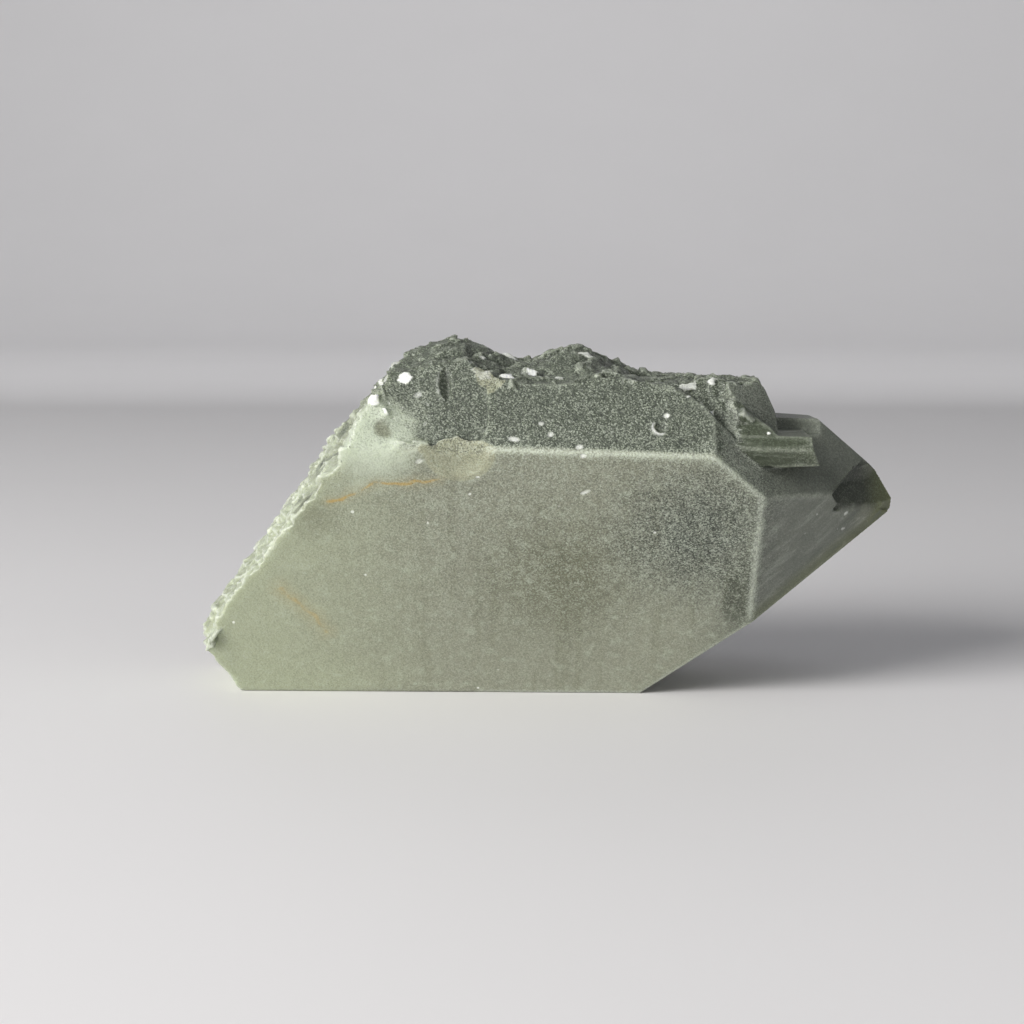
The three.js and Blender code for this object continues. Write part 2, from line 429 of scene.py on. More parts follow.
def spread_chips(wanted, seed, tilt, sizes, stretch, tones):
    """Chips at random places on the triangles that are wanted."""
    random = np.random.default_rng(seed)
    a, b, c = (CORNERS[TRIANGLES[wanted, i]] for i in range(3))
    area = lengths(np.cross(b - a, c - a))
    chips = []
    for number in range(SPREAD_COUNT):
        i = random.choice(len(wanted), p=area / area.sum())
        u, v = sorted(random.uniform(0, 1, 2))
        centre = a[i] * u + b[i] * (v - u) + c[i] * (1 - v)
        out = TRIANGLE_NORMALS[wanted[i]] + random.normal(0, tilt, 3)
        size = sizes[0] + (sizes[1] - sizes[0]) * random.uniform(0, 1) ** 2
        thick = size * random.uniform(*CHIP_THICKNESS)
        tone = tones[0] + (tones[1] - tones[0]) * random.uniform(0, 1) ** 3
        sunk = thick * random.uniform(-CHIP_TILT, CHIP_TILT)
        centre = centre + out / np.linalg.norm(out) * sunk
        turn = random.uniform(0, math.tau)
        wide = random.uniform(1.0, stretch)
        chips.append(Chip(centre, out, seed + number, size, thick, tone, wide, turn))
    return chips


def all_chips():
    rough = np.array([n for face in FACES if face.area <= GROWN_AREA for n in face.members])
    middle = CORNERS[TRIANGLES[rough]].mean(axis=1)
    out = TRIANGLE_NORMALS[rough]
    leaning = (out @ BREAK_OUT > BREAK_LEAN) & (middle[:, 0] < BREAK_LIMIT)
    top = ~leaning & (out[:, 2] > TOP_LEAN)
    top &= (middle[:, 0] < TIP_START) & (middle[:, 2] > TOP_FOOT)
    chips = []
    for number, (x, z, *form) in enumerate(NAMED_CHIPS):
        place = SOLID_TREE.ray_cast((x, -IN_FRONT, z), (0.0, 1.0, 0.0))[0]
        chips.append(Chip(place, FRONT_UPPER.normal, NAMED_SEED + number, *form))
    chips += spread_chips(rough[top], *GROUND_CHIPS)
    return chips + spread_chips(rough[leaning], *BREAK_SCALES)


def with_chips(chips):
    """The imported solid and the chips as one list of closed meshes."""
    points, faces, start = [CORNERS], TRIANGLES.tolist(), len(CORNERS)
    for chip in chips:
        corners, sides = chip.solid()
        faces += [tuple(start + corner for corner in side) for side in sides]
        points.append(corners)
        start += len(corners)
    return np.concatenate(points), faces


# ---- Zones of the surface -----------------------------------------------------------------

CHIP_LIFT = 0.09
CHIP_MARGIN = 0.4
SCAR_GAP = 0.3
EDGE_SAMPLE = 0.15
EDGE_BAND = 0.75
BORDER_BAND = 1.6
LIGHT_WEAR = 0.35  # wear away from the front face, and at the crisp tip

# Places where the grown steps and edges have melted away: a ball's centre and radius.
SOFTENED = (
    ((-18.5, -19.0, 30.6), 6.5),
    ((36.4, -5.3, 22.0), 1.4),
    ((38.0, -3.6, 21.8), 1.2),
    ((34.7, -6.9, 21.9), 1.3),
)
# The ledge below the tip's recess runs out between these places across, below a height.
LEDGE_END = (32.6, 35.0)
LEDGE_FADE = (40.5, 38.0)
LEDGE_TOP = 23.0
LEDGE_DEPTH = 1.2
LEDGE_TURN = 0.95
LEDGE_FLAT = 0.85
# The recess's floor rises to the face above it between these heights, and only left of here.
RECESS_RISE = (24.6, 26.3)
RECESS_FADE = (38.8, 36.6)
RECESS_DEPTH = (0.02, 1.5)
RECESS_START = 32.0
NOTCH_WALL = np.array((0.67, 0.0, -0.74))  # which way the notch's wall looks
NOTCH_TURN = 0.97

# The small faces beside the tip are crumbled between these places across and up.
PLATES_START = (12.5, 14.0)
PLATES_END = (23.5, 21.5)
PLATES_FOOT = (29.0, 30.5)
PLATE_AREA = 70.0

# Round bites out of the grown faces: a ball's centre and radius.
BITES = (((-9.0, -30.6, 29.7), 11.6),)
BITE_RIM = 0.15
# The left block of the upper front face sinks in gently between these places across.
RAMP = (-22.0, -14.0)
RAMP_FOOT = 29.4
RAMP_DEPTH = 1.2
BLOCK_DEPTH = 0.55

CRISP_START = 29.0  # right of this the edges are less worn

# Round scars left by flakes: a ball's centre and radius.
FLAKE_SCARS = (
    ((-8.8, -31.7, 23.2), 14.0),
    ((-5.8, -17.4, 38.6), 3.2),
    ((-43.7, 30.6, 9.5), 21.0),
    ((15.3, 35.8, 12.8), 17.2),
)


class Zones:
    """What each point of the working skin belongs to."""

    def __init__(self, skin, chips):
        owner = np.empty(len(TRIANGLES), int)
        grown = np.zeros(len(TRIANGLES), bool)
        at_tip = CORNERS[TRIANGLES].mean(axis=1)[:, 0] > TIP_START
        for number, face in enumerate(FACES):
            owner[face.members] = number
            grown[face.members] = face.area > GROWN_AREA
        grown |= at_tip
        found = [SOLID_TREE.find_nearest(point) for point in skin.points.tolist()]
        self.nearest = np.array([tuple(hit[0]) for hit in found])
        triangle = np.array([hit[2] for hit in found])
        self.face = owner[triangle]
        self.plane = np.array([face.normal for face in FACES])[self.face]
        self.grown = grown[triangle]
        outward = TRIANGLE_NORMALS[triangle]
        self.find_chips(skin, chips, outward)
        leaning = (outward @ BREAK_OUT > BREAK_LEAN) | (outward[:, 0] < -LEFT_LEAN)
        self.broken = ~self.grown & leaning & (skin.points[:, 0] < BREAK_LIMIT)
        self.scar = np.zeros(len(skin.points), bool)
        for centre, radius in FLAKE_SCARS:
            gap = lengths(self.nearest - np.array(centre)) - radius
            self.scar |= ~self.grown & (np.abs(gap) < SCAR_GAP)
        self.broken &= ~self.scar
        self.weathered = ~self.grown & ~self.broken & ~self.scar
        self.find_edges(owner, grown, skin)

    def find_chips(self, skin, chips, outward):
        """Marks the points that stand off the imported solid, on a chip, with its whiteness."""
        self.chip = dots(skin.points - self.nearest, outward) > CHIP_LIFT
        self.tone = np.zeros(len(skin.points))
        tree = finder([chip.centre for chip in chips])
        for i in np.where(self.chip)[0]:
            _, number, gap = tree.find(skin.points[i])
            chip = chips[number]
            self.chip[i] = gap < chip.size * chip.stretch + CHIP_MARGIN
            self.tone[i] = chip.tone * self.chip[i]
        self.grown &= ~self.chip
        self.fine = np.zeros(len(skin.points), bool)
        # How much painted shade each point takes, in the slit and the pit.
        self.dirt = np.zeros(len(skin.points))

    def find_edges(self, owner, grown, skin):
        """Distances to the nearest grown edge and to the nearest border of rough ground."""
        owners = {}
        for number, triangle in enumerate(TRIANGLES.tolist()):
            for a, b in zip(triangle, triangle[1:] + triangle[:1]):
                owners.setdefault((min(a, b), max(a, b)), []).append(number)
        edges, borders = [], []
        for (a, b), pair in owners.items():
            if len(pair) != 2:
                continue
            first, second = pair
            turn = TRIANGLE_NORMALS[first] @ TRIANGLE_NORMALS[second]
            if grown[first] != grown[second]:
                borders.append((a, b, 1.0))
            elif grown[first] and owner[first] != owner[second] and turn < SHARP_TURN:
                far = next(c for c in TRIANGLES[second] if c not in (a, b))
                convex = (CORNERS[far] - CORNERS[a]) @ TRIANGLE_NORMALS[first] < 0
                beside_front = FACES.index(FRONT) in (owner[first], owner[second])
                wear = 1.0 if beside_front else LIGHT_WEAR
                edges.append((a, b, wear if convex else -wear))
        self.edge_gap, self.edge_kind = nearest_line(edges, skin.points)
        self.border_gap, _ = nearest_line(borders, skin.points)


def nearest_line(edges, points):
    """How far each point is from the nearest of some edges, and the kind of that edge."""
    spots, kinds = [], []
    for a, b, kind in edges:
        length = np.linalg.norm(CORNERS[b] - CORNERS[a])
        for t in np.linspace(0, 1, max(2, int(length / EDGE_SAMPLE) + 1)):
            spots.append(CORNERS[a] * (1 - t) + CORNERS[b] * t)
            kinds.append(kind)
    tree = finder(spots)
    found = [tree.find(point) for point in points.tolist()]
    gaps = np.array([hit[2] for hit in found])
    return gaps, np.array(kinds)[[hit[1] for hit in found]]


# ---- The crystal's relief -----------------------------------------------------------------


STEP_WAY = np.array((-0.55, 0.0, -0.83))  # the way that the broken end's steps follow
STEP_RUN = 3.0  # how far apart they lie
STEP_RISE = 0.6


def break_relief(points, strength):
    """Torn scales that step up the broken end."""
    stretched = points * np.array((1.0, 0.55, 1.0))
    large = Scatter(stretched, size=2.6, seed=11)
    small = Scatter(stretched, size=1.0, seed=47)
    height = large.plates(slope=0.08, step=0.12) + (large.offset @ STEP_WAY) * 0.10
    height += small.plates(slope=0.20, step=0.08) + (small.offset @ STEP_WAY) * 0.16
    height += swell(points, 6.0, 5) * 0.25
    travel = points @ STEP_WAY / STEP_RUN
    travel = travel + swell(points, 9.0, 23) * 1.4 + swell(points, 2.5, 29) * 0.22
    height += (travel % 1.0 - 0.5) * STEP_RISE * (0.75 + swell(points, 5.0, 31) * 0.5)
    return height * strength


def ground_relief(points, strength):
    """Lumps, plates and grains of the weathered top."""
    large = Scatter(points, size=2.5, seed=101).plates(slope=0.22, step=0.20)
    small = Scatter(points, size=1.1, seed=131).plates(slope=0.25, step=0.08)
    return (large + small + swell(points, 5.0, 9) * 0.25) * strength


def sink_ramp(skin, zones):
    """Turns the left block's side step into a gentle ramp."""
    x, _, z = skin.points.T
    upper = zones.plane @ FRONT_UPPER.normal > ALIKE
    wall = (x > RAMP[0]) & (x < RAMP[1]) & (z > RAMP_FOOT) & (zones.face != FACES.index(FRONT))
    depth = FRONT_UPPER.depth(skin.points)
    ramp = zones.grown & (upper | wall) & (x < RAMP[1]) & (np.abs(depth) < RAMP_DEPTH)
    wanted = BLOCK_DEPTH * smooth_step(*RAMP, x)
    skin.shift(np.where(ramp, depth - wanted, 0.0), FRONT_UPPER.normal)


def end_ledge(skin, zones):
    """Lets the ledge below the tip's recess run out towards the tip."""
    x, _, z = skin.points.T
    depth = TIP_FRONT.depth(skin.points)
    looking = (zones.plane @ TIP_FRONT.normal > LEDGE_TURN) | (zones.plane[:, 2] > LEDGE_FLAT)
    inner = zones.grown & looking & (depth > 0) & (depth < LEDGE_DEPTH) & (z < LEDGE_TOP)
    shift = np.where(inner, depth, 0.0) * smooth_step(*LEDGE_END, x)
    skin.shift(shift * smooth_step(*LEDGE_FADE, x), TIP_FRONT.normal)


def raise_floor(skin, zones):
    """Lets the floor of the tip's recess rise to the face above it, away from the notch."""
    x, _, z = skin.points.T
    out = TIP_UPPER.normal
    depth = TIP_UPPER.depth(skin.points)
    looking = (zones.plane @ out > ALIKE) | (zones.plane @ NOTCH_WALL > NOTCH_TURN)
    inner = zones.grown & looking & (x > RECESS_START)
    inner &= (depth > RECESS_DEPTH[0]) & (depth < RECESS_DEPTH[1])
    room = TIP_TOP.depth(skin.points) / (TIP_TOP.normal @ out)
    shift = np.where(inner, depth, 0.0) * smooth_step(*RECESS_RISE, z)
    shift *= smooth_step(*RECESS_FADE, x)
    skin.shift(np.minimum(shift, np.maximum(room, 0.0)), out)
    zones.fine |= inner


def crumble_plates(skin, zones):
    """Breaks up the small faces between the upper front face and the tip."""
    areas = np.array([face.area for face in FACES])[zones.face]
    x, _, z = skin.points.T
    share = smooth_step(*PLATES_START, x) * smooth_step(*PLATES_END, x)
    share *= smooth_step(*PLATES_FOOT, z) * (areas < PLATE_AREA) * zones.grown
    here = share > 0.01
    steps = Scatter(skin.points[here], size=1.7, seed=211).plates(slope=0.25, step=0.16)
    steps += Scatter(skin.points[here], size=0.8, seed=241).plates(slope=0.25, step=0.07)
    move = np.zeros_like(skin.points)
    move[here] = along(steps * share[here], zones.plane[here])
    skin.points = skin.points + skin.relaxed(move, 2)
    zones.fine |= here


def bite(skin, zones):
    """Presses the points inside each ball out to its surface."""
    for centre, radius in BITES:
        away, gap = skin.away_from(centre)
        skin.shift(np.where(gap < radius, radius / gap - 1, 0.0), away)
        zones.fine |= gap < radius + BITE_RIM


# A place across and up, its turn, and how far around it the surface moves.
SLIT_PLACE = ((-10.3, 36.7), 0.06, 3.4)
SLIT_HALF = 0.72
SLIT_LENGTH = 2.3
SLIT_DEPTH = 0.65
SLIT_VALLEY = 0.75  # where across the slit it is deepest
CRESCENT_PLACE = ((13.0, 32.0), 0.0, 2.4)


class Place:
    """Directions across and up a face at one place, for what is pressed into it."""

    def __init__(self, skin, zones, face, spot, turn, reach):
        self.skin, self.zones = skin, zones
        self.out = face.normal
        away, gap = skin.away_from(face.at(*spot))
        self.points = np.where((gap < reach) & zones.grown)[0]
        across = np.cross((0.0, 0.0, 1.0), self.out)
        across /= np.linalg.norm(across)
        up = np.cross(self.out, across)
        u, v = away[self.points] @ across, away[self.points] @ up
        self.u = u * math.cos(turn) + v * math.sin(turn)
        self.v = v * math.cos(turn) - u * math.sin(turn)
        zones.fine[self.points] = True

    def press(self, height, tone, dirt):
        """Lifts the surface by a height, and leaves at least this much tone and painted shade
        there.
        """
        self.skin.points[self.points] += along(height, self.out)
        for marks, least in ((self.zones.tone, tone), (self.zones.dirt, dirt)):
            marks[self.points] = np.maximum(marks[self.points], least)


def leaf_slit(skin, zones):
    """A leaf-shaped slit in the left block, deepest along its right side."""
    place = Place(skin, zones, FRONT_UPPER, *SLIT_PLACE)
    half = SLIT_HALF * np.clip(1 - (place.v / SLIT_LENGTH) ** 2, 0, 1)
    share = np.clip((place.u + half) / np.maximum(2 * half, 1e-6), 0, 1)
    inside = (np.abs(place.u) < half) & (half > 0)
    rising, falling = share / SLIT_VALLEY, (1 - share) / (1 - SLIT_VALLEY)
    valley = np.where(share < SLIT_VALLEY, rising, falling)
    depth = np.where(inside, -SLIT_DEPTH * valley * half / SLIT_HALF, 0.0)
    # Painted shade inside the slit, darkest where it is deepest.
    place.press(depth, 0.0, inside * valley)
    rim = np.exp(-(((place.u + half + 0.1) / 0.22) ** 2)) * (half > 0.1)
    place.press(rim * 0.12, rim * 0.3, 0.0)


def crescent_chip(skin, zones):
    """A shell-shaped bruise: a bright raised lip on the lower left of a small pit."""
    place = Place(skin, zones, FRONT_UPPER, *CRESCENT_PLACE)
    gap = np.hypot(place.u, place.v) * 1.15
    side = smooth_step(-0.35, 0.55, -(place.u * 0.75 + place.v * 0.66) / np.maximum(gap, 1e-6))
    lip = np.exp(-(((gap - 1.0) / 0.24) ** 2)) * side
    pit = smooth_step(0.95, 0.35, gap)
    # The pit gets painted shade; the lip is white quartz.
    place.press(0.2 * lip - 0.3 * pit, lip * 0.55, pit * 0.5)


DENT_DEPTH = 0.10
# Small bruises of the front faces: place across and up, half size, stretch, turn and tone.
UPPER_BRUISES = (
    (-13.3, 35.6, 0.42, 1.4, 0.5, 0.45),
    (-12.2, 34.6, 0.22, 1.4, 0.0, 0.3),
    (-12.4, 32.6, 0.25, 1.3, 0.9, 0.35),
    (13.6, 33.2, 0.34, 1.2, 0.3, 0.7),
    (0.1, 32.4, 0.30, 1.3, 0.2, 0.5),
    (1.1, 31.3, 0.36, 1.1, 0.9, 0.55),
    (-2.8, 30.8, 0.32, 2.3, -0.2, 0.6),
    (4.2, 30.0, 0.34, 1.5, 0.2, 0.6),
)
LOWER_BRUISES = (
    (4.9, 24.9, 0.28, 2.4, 0.45, 0.6),
    (-6.7, 26.6, 0.18, 1.0, 0.0, 0.9),
    (-12.3, 21.2, 0.16, 1.0, 0.0, 0.9),
    (-19.5, 14.9, 0.16, 1.0, 0.0, 1.0),
    (-13.0, 28.4, 0.34, 1.6, 0.6, 0.42),
    (4.6, 29.0, 0.30, 1.5, 0.0, 0.6),
)
TIP_BRUISES = (
    (30.9, 21.6, 0.15, 1.2, 0.3, 0.7),
    (34.6, 21.2, 0.24, 1.6, 0.5, 0.6),
    (34.4, 19.4, 0.22, 1.7, 0.2, 0.6),
    (33.7, 19.5, 0.14, 1.0, 0.0, 0.45),
    (29.6, 19.4, 0.13, 1.6, 1.0, 0.35),
)


def bruises(skin, zones):
    """Little shallow dents with a white floor."""
    sets = (FRONT_UPPER, UPPER_BRUISES), (FRONT, LOWER_BRUISES), (TIP_FRONT, TIP_BRUISES)
    for face, spots in sets:
        for x, z, size, stretch, turn, tone in spots:
            place = Place(skin, zones, face, (x, z), turn, size * stretch * 1.6 + 0.3)
            gap = np.hypot(place.u / stretch, place.v) / size
            dent = smooth_step(1.25, 0.55, gap)
            place.press(dent * -DENT_DEPTH, dent * tone, 0.0)


SOFTENING = 160  # passes that melt a step away
# Shares of the relief that reach the flake scars, and the chips and the resting face's rim.
SCAR_MOVE = 0.15
CHIP_MOVE = 0.3
FOOT_HEIGHT = 0.3


def shape_skin(skin, zones, shape):
    """Moves the skin's points to the crystal's own surface."""
    skin.points = np.where(zones.grown[:, None], zones.nearest, skin.points)
    ease = ((zones.broken | zones.weathered) & ~zones.chip).astype(float)
    skin.smooth(ease, 10)
    sink_ramp(skin, zones)
    end_ledge(skin, zones)
    raise_floor(skin, zones)
    for centre, radius in SOFTENED:
        _, gap = skin.away_from(centre)
        skin.smooth(zones.grown * smooth_step(radius, radius / 2, gap), SOFTENING)
        zones.fine |= gap < radius * 1.15
    for centre, radius in FLAKE_SCARS:
        away, gap = skin.away_from(centre)
        onto = along(radius / gap, away) + np.array(centre)
        on_ball = zones.scar & (np.abs(gap - radius) < 0.5)
        skin.points = np.where(on_ball[:, None], onto, skin.points)
    wear = smooth_step(EDGE_BAND, 0.1, zones.edge_gap) * zones.grown
    wear *= np.where(skin.points[:, 0] > CRISP_START, LIGHT_WEAR, 1.0)
    skin.smooth(wear * 0.5, 2)
    skin.smooth(wear * (zones.edge_kind > 0.5), 4)
    roughen(skin, zones, shape)
    skin.smooth(ease * 0.6, 2)
    crumble_plates(skin, zones)
    bite(skin, zones)
    leaf_slit(skin, zones)
    crescent_chip(skin, zones)
    bruises(skin, zones)
    skin.points[:, 2] = np.maximum(skin.points[:, 2], 0.0)


def flattened(moves, plane):
    """What is left of moves within the planes of their faces."""
    return moves - along(dots(moves, plane), plane)


def roughen(skin, zones, shape):
    """Adds the relief of the broken end and of the top, with a jagged border round it."""
    near_border = np.clip(1 - zones.border_gap / BORDER_BAND, 0, 1)
    left = skin.points[:, 0] < BREAK_LIMIT
    on_break = zones.broken | (zones.grown & left & (near_border > 0))
    on_top = (zones.weathered | (near_border > 0)) & ~on_break
    torn, border = skin.points[on_break], near_border[on_break]
    move = np.zeros_like(skin.points)
    move[on_break] = along(break_relief(torn, shape.break_relief), BREAK_OUT)
    move[on_top] = along(ground_relief(skin.points[on_top], shape.ground_relief), GROUND_OUT)
    slide = along(near_border, flattened(skin.relaxed(move, 8), zones.plane))
    jag = swell(torn, 1.3, 71) * 0.34 + swell(torn, 0.6, 73) * 0.14
    jag = along(jag * border, BREAK_OUT)
    move[on_break] += jag
    jag = flattened(jag, zones.plane[on_break])
    slide[on_break] += along(smooth_step(0.0, 0.6, border), jag)
    move = np.where(zones.grown[:, None], slide, move)
    move[zones.scar] *= SCAR_MOVE
    move[zones.chip] *= CHIP_MOVE
    move[skin.points[:, 2] < FOOT_HEIGHT] *= CHIP_MOVE
    skin.points = skin.points + move


FINE_RELIEF = 0.12
BROAD_RELIEF = 0.35


def surface_marks(skin, zones):
    """Numbers that the finish reads from the mesh, one list for each name."""
    normals = skin.normals()
    settled = skin.relaxed(skin.points, 12)
    fine = dots(skin.points - settled, normals) / FINE_RELIEF
    settled = skin.relaxed(settled, 40)
    broad = dots(skin.points - settled, normals) / BROAD_RELIEF
    strayed = zones.border_gap + swell(skin.points, 1.4, 61) * 0.5
    fringe = smooth_step(1.0, 0.0, strayed) * (skin.points[:, 0] < BREAK_LIMIT)
    worn = smooth_step(0.6, 0.05, zones.edge_gap) * zones.edge_kind.clip(0, 1) * zones.grown
    return {
        "break": np.where(zones.broken, 1.0, fringe * 0.45),
        "ground": zones.weathered.astype(float),
        "worn": worn,
        "chip": zones.tone,
        "dirt": zones.dirt,
        "proud": np.clip(fine, -1, 1),
        "hollow": np.clip(-broad, -1, 1),
    }


# ---- Turning the skin into a mesh ---------------------------------------------------------

TRIANGLE_LIMIT = 192000


def thinned_mesh(name, skin, keep):
    """Drops triangles where the surface is flat and plain, outside the points to keep."""
    holder = placed(name, new_mesh(name, skin.points.tolist(), skin.quads.tolist()))
    group = holder.vertex_groups.new(name="plain")
    group.add(np.where(~keep)[0].tolist(), 1.0, "REPLACE")
    thin = holder.modifiers.new("thin", "DECIMATE")
    thin.ratio = min(1.0, TRIANGLE_LIMIT / (2 * len(skin.quads)))
    thin.vertex_group = group.name
    thin.vertex_group_factor = 10.0
    thin.use_collapse_triangulate = True
    return evaluated(holder)


def weigh_normals(mesh):
    """Shades each vertex with the mean of its triangles, each weighed by its area."""
    corners = rows(mesh.loops, "vertex_index", 1, int).reshape(-1)
    points = rows(mesh.vertices, "co", 3)
    a, b, c = (points[corners[k::3]] for k in range(3))
    areas = np.repeat(np.cross(b - a, c - a), 3, axis=0)
    normals = unit(gathered(corners, areas, len(points)))
    mesh.normals_split_custom_set_from_vertices(normals.tolist())


def carry_marks(mesh, skin, marks):
    """Gives each vertex the marks of the nearest point of the skin."""
    tree = finder(skin.points.tolist())
    nearest = [tree.find(vertex.co)[1] for vertex in mesh.vertices]
    for name, values in marks.items():
        attribute = mesh.attributes.new(name, "FLOAT", "POINT")
        attribute.data.foreach_set("value", values[nearest].astype(np.float32))


# ---- Shader expressions -------------------------------------------------------------------


class Socket:
    """A shader socket that takes part in Python expressions, each adding its node."""

    def __init__(self, tree, socket):
        self.tree = tree
        self.socket = socket

    @property
    def is_vector(self):
        return self.socket.type in ("VECTOR", "RGBA")

    def _joined(self, operation, first, second):
        vector = any(isinstance(side, tuple) for side in (first, second))
        vector = vector or any(getattr(side, "is_vector", False) for side in (first, second))
        kind = "ShaderNodeVectorMath" if vector else "ShaderNodeMath"
        sides = [
            (side,) * 3 if vector and isinstance(side, (int, float)) else side
            for side in (first, second)
        ]
        return self.tree.node(kind, {"operation": operation}, sides)

    def __add__(self, other):
        return self._joined("ADD", self, other)

    def __radd__(self, other):
        return self._joined("ADD", other, self)

    def __sub__(self, other):
        return self._joined("SUBTRACT", self, other)

    def __rsub__(self, other):
        return self._joined("SUBTRACT", other, self)

    def __mul__(self, other):
        return self._joined("MULTIPLY", self, other)

    def __rmul__(self, other):
        return self._joined("MULTIPLY", other, self)

    def __truediv__(self, other):
        return self._joined("DIVIDE", self, other)

    def __rtruediv__(self, other):
        return self._joined("DIVIDE", other, self)

    def dot(self, other):
        return self.tree.vector("DOT_PRODUCT", [self, other], "Value")

    def length(self):
        return self.tree.vector("LENGTH", [self], "Value")

    def scaled(self, way):
        """A way times this number."""
        return self.tree.vector("SCALE", {"Vector": tuple(way), "Scale": self})

    def smooth(self, low, high):
        """0 below low, 1 above high and a soft step between; low may be the larger."""
        inputs = {"Value": self, "From Min": low, "From Max": high}
        if low > high:
            inputs = {"Value": self, "From Min": high, "From Max": low}
        step = self.tree.node("ShaderNodeMapRange", {"interpolation_type": "SMOOTHSTEP"}, inputs)
        return 1 - step if low > high else step

    def clamp(self):
        return self.tree.node("ShaderNodeClamp", {}, {"Value": self})

    def larger(self, other):
        return self._joined("MAXIMUM", self, other)

    def smaller(self, other):
        return self._joined("MINIMUM", self, other)

    def part(self, axis):
        return self.tree.node("ShaderNodeSeparateXYZ", {}, [self], axis)


class Tree:
    """A material's nodes, made from types, settings and socket values."""

    def __init__(self, name):
        self.material = bpy.data.materials.new(name)
        self.material.use_nodes = True
        self.nodes = self.material.node_tree.nodes
        self.links = self.material.node_tree.links
        self.nodes.clear()

    def node(self, kind, settings, inputs, output=0):
        made = self.nodes.new(kind)
        for name, value in settings.items():
            setattr(made, name, value)
        pairs = inputs.items() if isinstance(inputs, dict) else enumerate(inputs)
        for key, value in pairs:
            if isinstance(value, Socket):
                self.links.new(value.socket, made.inputs[key])
            else:
                made.inputs[key].default_value = value
        return Socket(self, made.outputs[output])

    def vector(self, operation, inputs, output=0):
        return self.node("ShaderNodeVectorMath", {"operation": operation}, inputs, output)

    def noise(self, place, size, detail=2.0, roughness=0.5, output="Fac"):
        """Noise whose swells are a size in millimetres apart, from 0 to 1."""
        inputs = {"Vector": place, "Scale": 1 / size, "Detail": detail, "Roughness": roughness}
        return self.node("ShaderNodeTexNoise", {}, inputs, output)

    def mix(self, first, second, share):
        inputs = {0: share, 6: first, 7: second}
        return self.node("ShaderNodeMix", {"data_type": "RGBA"}, inputs, 2)

    def cells(self, place, size, output, feature="F1"):
        """Cells whose centres lie about a size in millimetres apart."""
        inputs = {"Vector": place, "Scale": 1 / size}
        return self.node("ShaderNodeTexVoronoi", {"feature": feature}, inputs, output)

    def mark(self, name):
        """A number that the mesh carries."""
        return self.node("ShaderNodeAttribute", {"attribute_name": name}, {}, "Fac")

    def place(self):
        """The place on the piece, in millimetres."""
        return self.node("ShaderNodeTexCoord", {}, {}, "Object") / MM

    def finish(self, shader):
        output = self.nodes.new("ShaderNodeOutputMaterial")
        self.links.new(shader.socket, output.inputs["Surface"])
        return self.material


class Coat:
    """A colour built up in layers of the crystal's tones."""

    def __init__(self, tree, tones, first):
        self.tree = tree
        self.tones = tones
        self.colour = colour(getattr(tones, first))

    def lay(self, tone, share):
        """Covers the colour with a tone, by a share from 0 to 1."""
        self.colour = self.tree.mix(self.colour, colour(getattr(self.tones, tone)), share)


def colour(values):
    return (*values, 1.0)


def near(place, centre, radius):
    """1 at a centre, fading out to 0 at a radius."""
    return (place - tuple(centre)).length().smooth(radius, 0.0)


def line_gap(place, face, spots):
    """How far a place is from a line through spots, across and up, on a face."""
    points = [Vector(face.at(*spot)) for spot in spots]
    gaps = []
    for start, end in zip(points, points[1:]):
        offset, run = place - tuple(start), end - start
        share = (offset.dot(tuple(run)) / run.length_squared).clamp()
        gaps.append((offset - share.scaled(run)).length())
    return reduce(Socket.smaller, gaps)


# ---- The quartz finish --------------------------------------------------------------------

# Places on the front faces, across and up, in millimetres, and two in space.
UPPER_VEIN = ((-22.9, 23.5), (-20.1, 24.8), (-17.8, 25.8), (-15.1, 25.9), (-10.8, 26.3))
LOWER_VEIN = ((-29.1, 13.0), (-27.0, 11.1), (-25.4, 9.5), (-24.4, 8.0))
OLIVE_HEART = (2.2, 14.4)
DUSTED_PATCH = (17.0, 20.0)
GREEN_STREAK = (22.3, 12.8)
PALE_PATCH = (36.9, 20.9)
TINGE = (-25.0, 22.0)
NOTCH = ((32.4, 23.8), (35.35, 26.2))
NOTCH_SIDE = (0.631, 0.0, -0.776)
# A line below the small green crystals, along which their shadow is painted.
PEG_SHADOW = ((25.5, 27.4), (28.7, 26.4), (31.6, 26.2), (32.6, 25.2))
GLOW = (-18.3, -19.2, 31.0)
BROWN_SPOT = (-16.8, -18.7, 31.9)
# Where parts of the surface start: nothing of them at the first place, all at the second.
BREAK_FADE = (37.5, 30.5)
BEHIND = (-2.0, 9.0)
CLEAR_START = (21.0, 29.0)
PEG_START = (19.0, 23.0)
RECESS_SIDE = (31.5, 32.5)
PEG_SHADOW_START = (24.5, 28.0)
MERGED_START = (19.0, 20.5)
BODY_START = (-34.0, -6.0)
DARK_START = (14.0, 30.0)
OLIVE_START = (33.0, 40.0)
RIM_START = (36.5, 39.5)
BANDS_START = (-28.0, -4.0)
DUST_START = (-30.0, -10.0)
DUST_FOOT = (2.0, 27.0)
DUST_END = (28.0, 36.0)
SPECKLE_START = (-34.0, -8.0)
RIDGE_START = (-12.0, -4.0)
RIDGE_END = (34.0, 30.0)
BRUISE_START = (-10.0, -2.0)
BRUISE_END = (33.0, 31.0)
ON_FACE = (0.5, 0.15)
ABOVE_FOOT = 22.2
# Sizes in millimetres, and what light does in the quartz.
DRIFT = 14.0
CELL = 0.135
CRACK_RUN = 3.6
SPECK_RUN = 3.4
SCRATCH_SLANT = 0.62
QUARTZ_IOR = 1.54
LIGHT_REACH = (1.0, 1.05, 0.75)


def plane_gap(place, face):
    """How deep a place lies under a face's plane."""
    return float(face.offset) - place.dot(tuple(map(float, face.normal)))


def seam(place, first, second, width):
    """1 where two faces' planes meet, fading out over a width."""
    gap = plane_gap(place, first).larger(plane_gap(place, second))
    return gap.smooth(width, 0.0)


